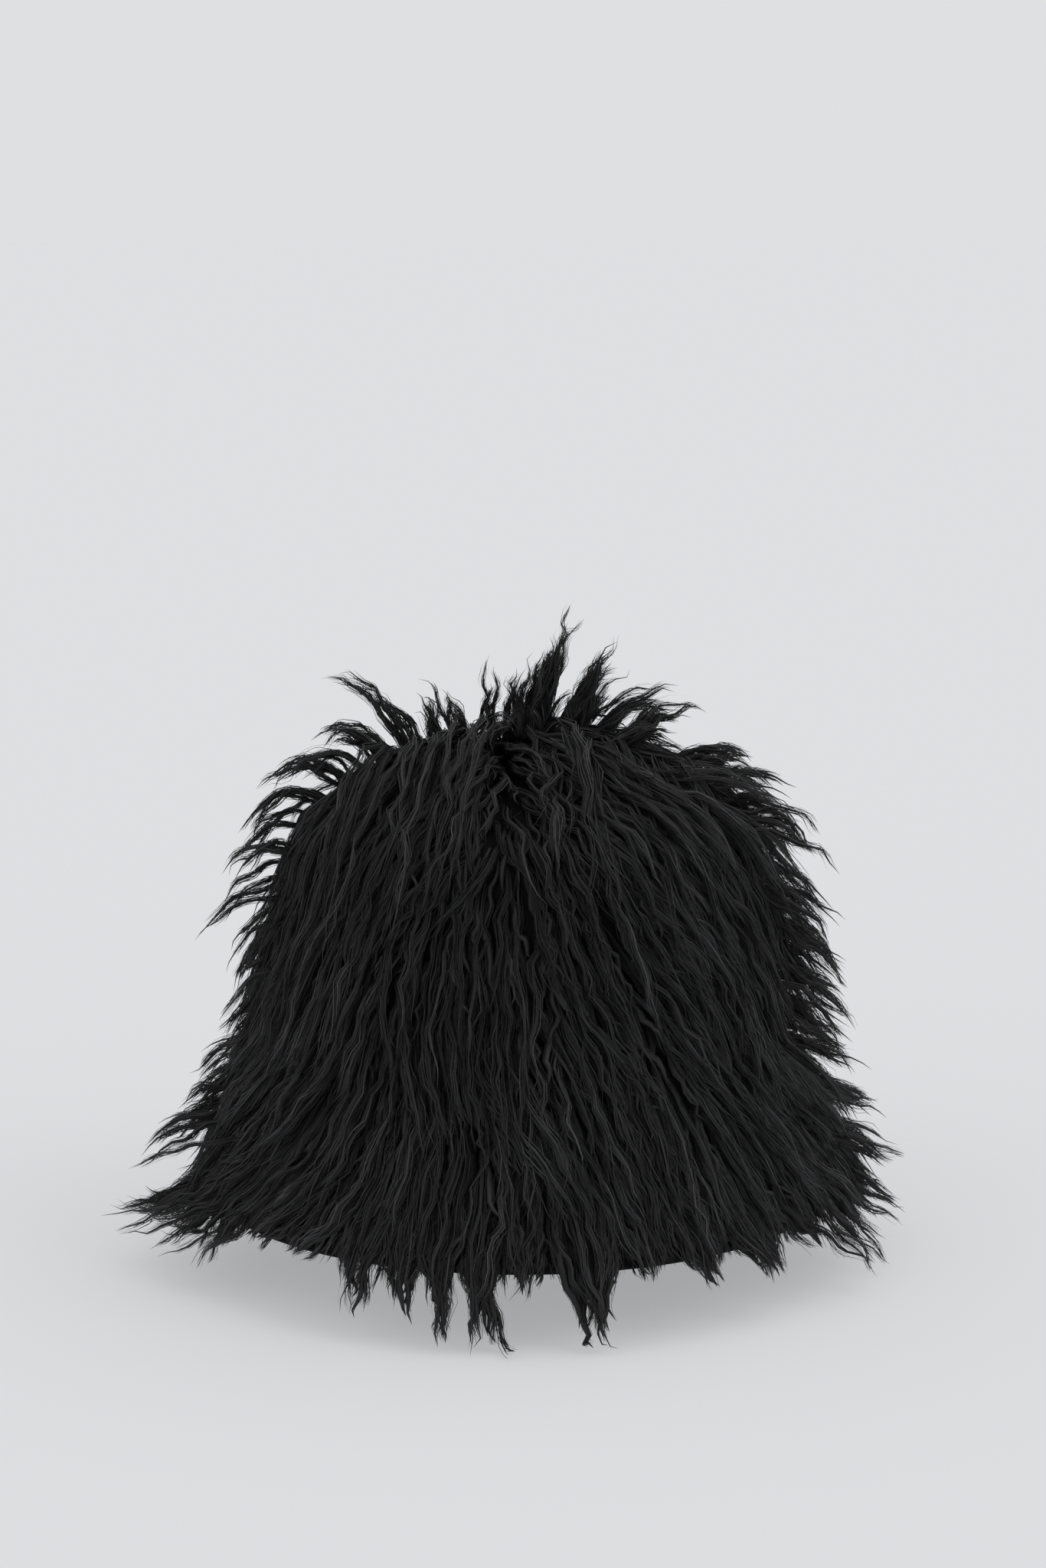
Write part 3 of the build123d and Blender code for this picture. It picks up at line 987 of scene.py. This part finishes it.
def weaveMaterial(name, colour, roughness, kind, size, depth, specular=0.3, sheen=0.0):
    # kind of weave, the distance between its ribs, and how deep they are
    material = newMaterial(name, {"Roughness": roughness, "Specular IOR Level": specular,
                                  "Sheen Weight": sheen, "Sheen Roughness": 0.4})
    add, calc, _ = toolsFor(material.node_tree)
    place = add("ShaderNodeUVMap", uv_map="cloth").outputs[0]
    parts = add("ShaderNodeSeparateXYZ", {0: place})
    across, down = parts.outputs[0], parts.outputs[1]
    if kind == "twill":
        across = calc("ADD", across, down)
    rib = calc("SINE", calc("MULTIPLY", across, 2 * math.pi / size))
    if kind == "knit":
        rib = calc("MULTIPLY", rib, calc("SINE", calc("MULTIPLY", down, 2 * math.pi / size)))
    fuzz = add("ShaderNodeTexNoise", {"Vector": place, "Scale": 900.0, "Detail": 2.0}).outputs[0]
    height = calc("MULTIPLY_ADD", fuzz, 0.8, rib)
    # painted shade and highlight: the colour follows the weave's relief, darker in its grooves and lighter
    # on its ribs
    shade = mapRange(add, height, 0.65, 1.3, -1.0, 1.8)
    return clothe(material, add, toLinear(colour), shade, height, 0.7, depth)


fabrics = {
    # black polyester satin: close and smooth, so folds catch a soft light
    "satin_lining": weaveMaterial("black_polyester_satin", "#131315", 0.34, "plain", 0.0005, 0.00002, 0.5),
    # black cotton twill: matt, with fine slanting ribs
    "twill_facing": weaveMaterial("black_cotton_twill", "#111112", 0.8, "twill", 0.0011, 0.00012,
                                  0.25, 0.1),
    # black grosgrain: dull, with ribs across the band
    "grosgrain_band": weaveMaterial("black_grosgrain", "#0f0f10", 0.62, "plain", 0.0012, 0.00018, 0.35),
    # black warp knit that the pile grows from: matt, with small loops
    "knit_backing": weaveMaterial("black_warp_knit", "#060606", 0.9, "knit", 0.0012, 0.00012, 0.15),
    # black damask label: slightly glossy fine ribs
    "woven_label": weaveMaterial("black_damask", "#18181a", 0.42, "plain", 0.0004, 0.00003, 0.45),
    # white printed ribbon, left blank: smooth with faint ribs
    "care_ribbon": weaveMaterial("white_satin_ribbon", "#d9d8d4", 0.45, "plain", 0.0005, 0.00002, 0.4),
    # cotton tape over the seam
    "cotton_tape": weaveMaterial("black_cotton_tape", "#121212", 0.85, "twill", 0.0014, 0.0001, 0.2),
    # grey non-woven interlining
    "interlining": weaveMaterial("grey_non_woven", "#57585a", 0.95, "knit", 0.0020, 0.00008, 0.1),
    # polyester thread: a small sheen on each stitch
    "sewing_thread": weaveMaterial("black_polyester_thread", "#1b1b1c", 0.5, "twill", 0.0006, 0.00005, 0.4),
}


def surfacePiece(name, grid, material, closed=False):
    # a smooth sheet through a grid of points; closed joins the last row to the first
    rows, columns = grid.shape[:2]
    points = grid.reshape(-1, 3)
    row = np.arange(rows if closed else rows - 1)
    column = np.arange(columns - 1)[None, :]
    first = (row[:, None] * columns + column).ravel()
    after = (((row + 1) % rows)[:, None] * columns + column).ravel()
    faces = np.stack([first, after, after + 1, first + 1], -1)
    mesh = bpy.data.meshes.new(name)
    mesh.from_pydata(points.tolist(), [], faces.tolist())
    mesh.polygons.foreach_set("use_smooth", [True] * len(mesh.polygons))
    mesh.materials.append(material)
    across, down = runOf(grid[rows // 2]), runOf(grid[:, columns // 2])
    if closed:
        down = np.append(down, down[-1] + np.linalg.norm(grid[0, 0] - grid[-1, 0]))
    flat = mesh.uv_layers.new(name="cloth")
    rowOf, columnOf = np.divmod(first, columns)
    u = np.stack([across[columnOf], across[columnOf], across[columnOf + 1], across[columnOf + 1]], -1)
    v = np.stack([down[rowOf], down[rowOf + 1], down[rowOf + 1], down[rowOf]], -1)
    flat.data.foreach_set("uv", np.stack([u, v], -1).astype(np.float32).ravel())
    baked = mesh.uv_layers.new(name="OFBake")
    unitUv = np.stack([0.01 + 0.98 * u / across[-1], 0.01 + 0.98 * v / down[-1]], -1)
    baked.data.foreach_set("uv", unitUv.astype(np.float32).ravel())
    return placeMesh(name, mesh)


def sew(name, grid, fabric, node, body="hat", closed=False):
    dress(surfacePiece(name, grid, fabrics[fabric], closed), fabric, node, body=body)


def hatGrid(s, turns, lift):
    wide, tall = np.meshgrid(turns, s)
    lift = np.broadcast_to(lift, wide.shape)
    grid, _ = onHat(tall.ravel(), wide.ravel(), lift.ravel())
    return grid.reshape(len(s), len(turns), 3)


def sOf(height):  # distance down the outline to a height
    return float(np.interp(-height, -shape["z"], shape["s"]))


def halfTurns(panel, count):  # azimuths across a panel
    spans = {"tip": (0, 360), "front": (-90, 90), "back": (90, 270)}
    return np.radians(np.linspace(*spans[panel.split("_")[-1]], count))


def buildBacking():
    fold = cloth["hemFold"]
    for panel, (low, high) in panels.items():
        turns = halfTurns(panel, 121)
        s = np.linspace(low, min(high, shape["hem"]), 44 if "crown" in panel else 30)
        grid = hatGrid(s, turns, 0)
        if "brim" in panel:  # the knit turns under at the hem
            rows = []
            slope = unit(grid[-1] - grid[-2])
            for turn in np.linspace(0, math.pi, 8)[1:]:
                row = hatGrid(np.array([shape["hem"]]), turns, -fold + fold * math.cos(turn))[0]
                rows.append(row + slope * fold * math.sin(turn))
            under = hatGrid(np.linspace(shape["hem"], shape["hem"] - 0.004, 4)[1:], turns, -2 * fold)
            grid = np.concatenate([grid, np.array(rows), under])
        piece = surfacePiece(panel + "_backing", grid, fabrics["knit_backing"])
        dress(piece, "faux_fur", panel + "_fur")


def buildLining():
    rng = np.random.default_rng(cloth["seed"])
    phases = rng.uniform(0, 2 * math.pi, 3)
    waves = ((1, 0.5), (0.55, 0.6), (1.7, 0.25))  # share of the folds, and how much they stand in
    smoothed = ((math.pi, 0.45), (-math.pi / 2, 0.35), (math.pi / 2, 0.08))  # flat behind the labels
    base, band = cloth["lining"] - 0.0002, shape["brimSeam"] - cloth["bandWidth"]

    def depthOf(s, turns):
        wide, tall = np.meshgrid(turns, s)
        fold = sum(np.sin(wide * round(cloth["folds"] * share) + phase) * weight
                   for (share, weight), phase in zip(waves, phases))
        fold = np.clip(fold * 0.5 + 0.5, 0, 1) ** 1.5
        fold = fold * smooth(tall, 0.035, 0.075) * (1 - smooth(tall, band - 0.020, band))
        for middle, half in smoothed:
            apart = np.abs(wrap(wide - middle))
            fold = fold * smooth(apart, half * 0.8, half * 1.6)
        pucker = np.abs(np.sin(wide * cloth["puckers"])) * 0.0003
        pucker = pucker * np.exp(-((tall - shape["tipSeam"]) / 0.006) ** 2)
        return -(base + cloth["foldDepth"] * fold + pucker)

    tip = np.linspace(0.0005, shape["tipSeam"], 40)
    turns = halfTurns("tip", 241)
    sew("lining_tip_satin", hatGrid(tip, turns, depthOf(tip, turns)), "satin_lining", "lining_tip")
    side = np.linspace(shape["tipSeam"], shape["brimSeam"] - 0.001, 60)
    for half in ("front", "back"):
        turns = halfTurns(half, 161)
        satin = hatGrid(side, turns, depthOf(side, turns))
        sew("lining_%s_satin" % half, satin, "satin_lining", "lining_" + half)
    under = np.linspace(shape["brimSeam"] + 0.0002, shape["hem"] - 0.0005, 24)
    for half in ("front", "back"):
        turns = halfTurns(half, 121)
        ripple = 0.0002 * np.abs(np.sin(turns * 34))
        twill = hatGrid(under, turns, -cloth["facing"] - ripple)
        sew("brim_%s_twill" % half, twill, "twill_facing", "brim_%s_facing" % half)


def buildSweatband():
    # a closed band with rounded edges, its upper edge a little proud of the lining
    top, bottom = shape["brimSeam"] - cloth["bandWidth"], shape["brimSeam"] - 0.0004
    half = (cloth["bandFace"] - cloth["bandBack"]) / 2
    middle = (cloth["bandFace"] + cloth["bandBack"]) / 2
    turns = np.radians(np.linspace(0, 360, 361))
    rows = []
    for side, edge in ((-1, bottom), (1, top)):  # down the back and round, up the face and round
        s = np.linspace(top + half, bottom - half, 22)[::-side]
        rows += list(hatGrid(s, turns, -(middle + side * half)))
        for turn in np.linspace(0, math.pi, 6)[1:-1]:
            seat = edge + side * half * (1 - math.sin(turn))
            rows += list(hatGrid(np.array([seat]), turns, -(middle + side * math.cos(turn) * half)))
    sew("sweatband_grosgrain", np.array(rows), "grosgrain_band", "sweatband", closed=True)


def labelLoop(width, length, thickness, bend):
    # a closed loop round a small label: width along X, length down, thickness along Y
    columns, rows = np.linspace(-width / 2, width / 2, 17), 20
    down = np.linspace(0, length, rows + 1)[:-1]
    half = thickness / 2
    turns = np.linspace(0, math.pi, 7)
    y = np.concatenate([np.full(rows, half), half * np.cos(turns), np.full(rows, -half)])
    z = -np.concatenate([down, length - half + half * np.sin(turns), down[::-1]])
    curve = bend * (z / length)[:, None] ** 2 * (1 + 0.25 * np.cos(columns / width * 5))
    return np.stack([columns + 0 * curve, y[:, None] + curve, z[:, None] + 0 * curve], -1)


def buildLabels():
    # the brand label lies on the lining at the back, with thin folded edges
    low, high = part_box("brand_label")
    edge, reach = 0.0002, cloth["labelHalf"] / cloth["labelRadius"]
    turns = np.linspace(math.pi - reach, math.pi + reach, 49)
    s = np.linspace(sOf(high.z - edge), sOf(low.z + edge), 25)
    wide, tall = np.meshgrid(np.linspace(-1, 1, 49), np.linspace(-1, 1, 25))
    rim = np.maximum(smooth(np.abs(wide), 0.93, 1.0), smooth(np.abs(tall), 0.84, 1.0))
    grid = hatGrid(s, turns, -(cloth["lining"] + 0.0005 * (1 - 0.75 * rim ** 2)))
    sew("brand_label_damask", grid, "woven_label", "brand_label")

    low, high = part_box("size_label")
    loop = labelLoop(high.x - low.x, high.z - low.z, 0.0004, -0.0005)
    loop += np.array([(low.x + high.x) / 2, (low.y + high.y) / 2, high.z])
    sew("size_label_damask", loop, "woven_label", "size_label", body="size_label")

    low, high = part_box("care_label")
    loop = labelLoop(high.y - low.y, high.z - low.z, high.x - low.x - 0.0001, -0.0012)
    loop = np.stack([-loop[..., 1], loop[..., 0], loop[..., 2]], -1)
    loop += np.array([(low.x + high.x) / 2, 0, high.z])
    sew("care_label_ribbon", loop, "care_ribbon", "care_label", body="care_label")


def stitchRow(name, node, count, radius, height):
    # one small stitch of thread, repeated round the row
    tree, inputs = newTree(name + "_row", {
        "Stitches": 12,
        "Row Radius": 0.1,
        "Row Height": 0.1,
        "Stitch Length": 0.004,
        "Thread": 0.0006,
    }, takesMesh=False)
    add, calc, _ = toolsFor(tree)
    given = add("NodeGroupInput").outputs
    ring = add("GeometryNodeCurvePrimitiveCircle",
               {"Resolution": given["Stitches"], "Radius": given["Row Radius"]})
    lifted = add("ShaderNodeCombineXYZ", {2: given["Row Height"]})
    raised = add("GeometryNodeSetPosition", {"Geometry": ring.outputs[0], "Offset": lifted.outputs[0]})
    tangent = add("GeometryNodeInputTangent").outputs[0]
    turned = add("FunctionNodeAlignRotationToVector", {"Vector": tangent}, axis="X")
    spots = add("GeometryNodeCurveToPoints", {"Curve": raised.outputs[0], "Count": given["Stitches"]},
                mode="EVALUATED")
    half = calc("MULTIPLY", given["Stitch Length"], 0.5)
    line = add("GeometryNodeCurveQuadraticBezier", {
        "Resolution": 8,
        "Start": add("ShaderNodeCombineXYZ", {0: calc("MULTIPLY", half, -1.0)}).outputs[0],
        "Middle": add("ShaderNodeCombineXYZ", {2: calc("MULTIPLY", given["Thread"], 0.25)}).outputs[0],
        "End": add("ShaderNodeCombineXYZ", {0: half}).outputs[0],
    })
    along = add("GeometryNodeSplineParameter").outputs[0]
    taper = profile(add, along, ((0, 0.35), (0.15, 0.95), (0.85, 0.95), (1, 0.35)))
    section = add("GeometryNodeCurvePrimitiveCircle", {"Resolution": 8, "Radius": 1.0})
    stitch = add("GeometryNodeCurveToMesh", {
        "Curve": line.outputs[0],
        "Profile Curve": section.outputs[0],
        "Scale": calc("MULTIPLY", calc("MULTIPLY", given["Thread"], 0.5), taper),
        "Fill Caps": True,
    })
    placed = add("GeometryNodeInstanceOnPoints", {"Points": spots.outputs[0], "Instance": stitch.outputs[0],
                                                  "Rotation": turned.outputs[0]})
    endTree(add, placed.outputs[0], fabrics["sewing_thread"])
    maker = placeMesh(name + "_maker", bpy.data.meshes.new(name))
    piece = bakeNodes(name, maker, tree, {
        inputs["Stitches"]: count,
        inputs["Row Radius"]: radius,
        inputs["Row Height"]: height,
    })
    piece.data.polygons.foreach_set("use_smooth", [True] * len(piece.data.polygons))
    dress(piece, "sewing_thread", node)


def buildStitches():
    for name, node, count in (("sweatband_stitches", "sweatband_stitching", 84),
                              ("hem_stitches", "hem_stitching", 120)):
        low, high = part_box(node)
        stitchRow(name, node, count, high.x - 0.0003, (low.z + high.z) / 2)


def finishHidden():
    # what stays between the layers only needs its own cloth
    for node in ("crown_tip_interlining", "crown_front_interlining", "crown_back_interlining",
                 "brim_front_stiffener", "brim_back_stiffener", "brim_seam_tape"):
        materials = bpy.data.objects[node].data.materials
        materials.clear()
        materials.append(fabrics["cotton_tape" if "tape" in node else "interlining"])


buildBacking()
buildLining()
buildSweatband()
buildLabels()
buildStitches()
finishHidden()
print("cloth, labels and stitches made")
